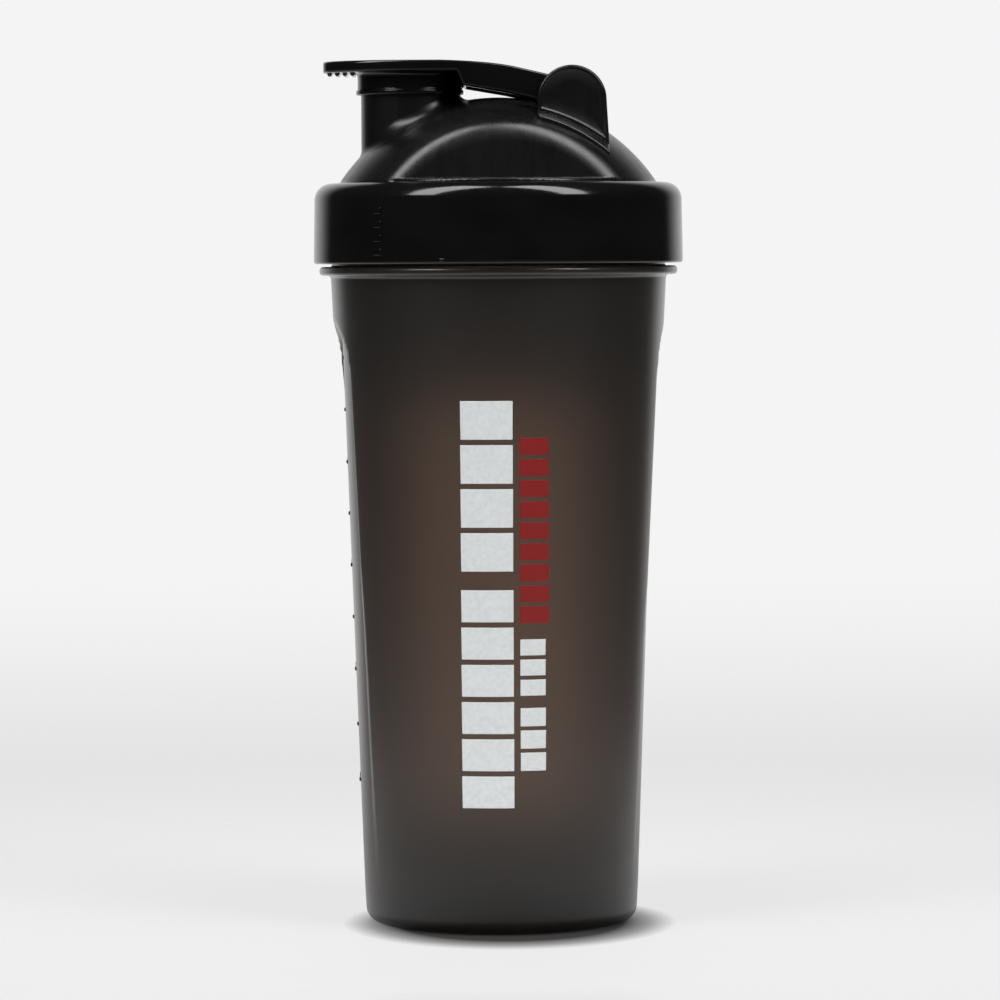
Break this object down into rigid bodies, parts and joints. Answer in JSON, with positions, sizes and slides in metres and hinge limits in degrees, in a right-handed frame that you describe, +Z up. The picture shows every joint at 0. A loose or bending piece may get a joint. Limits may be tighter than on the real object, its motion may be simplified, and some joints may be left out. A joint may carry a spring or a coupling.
{
  "type": "protein shaker bottle",
  "caption": "Tapered tumbler with side finger grips and a raised scale, closed by a domed screw lid with a spout, a hinged flip cap and a mixing sieve.",
  "frame": {"origin": "centre of the foot, on the surface that the bottle stands on", "axes": "+Z up along the tumbler's axis, +X from the spout towards the flip cap's hinge"},
  "size_m": [0.0908, 0.0908, 0.2116],
  "materials": {
    "smoke_plastic": "satin, translucent smoke brown",
    "lid_plastic": "polished black",
    "cap_plastic": "polished black",
    "sieve_plastic": "moulded black",
    "white_ink": "printed",
    "red_ink": "printed"
  },
  "bodies": {
    "cup": {"cup": "smoke_plastic"},
    "sieve": {"sieve": "sieve_plastic"},
    "lid": {"lid": "lid_plastic"},
    "flip_cap": {"flip_cap": "cap_plastic"}
  },
  "joints": [
    {"name": "lid_rise", "type": "slide", "parent": "cup", "child": "sieve", "axis": [0, 0, 1], "range_m": [0, 0.00751]},
    {"name": "lid_turn", "type": "hinge", "parent": "sieve", "child": "lid", "pos_m": [0, 0, 0.17], "axis": [0, 0, 1], "range_deg": [0, 450]},
    {"name": "cap_flip", "type": "hinge", "parent": "lid", "child": "flip_cap", "pos_m": [0.0183, 0, 0.203], "axis": [0, 1, 0], "range_deg": [0, 180]}
  ],
  "couplings": [
    {"joint": "lid_rise", "follows": "lid_turn", "m_per_rad": 0.00095493}
  ]
}
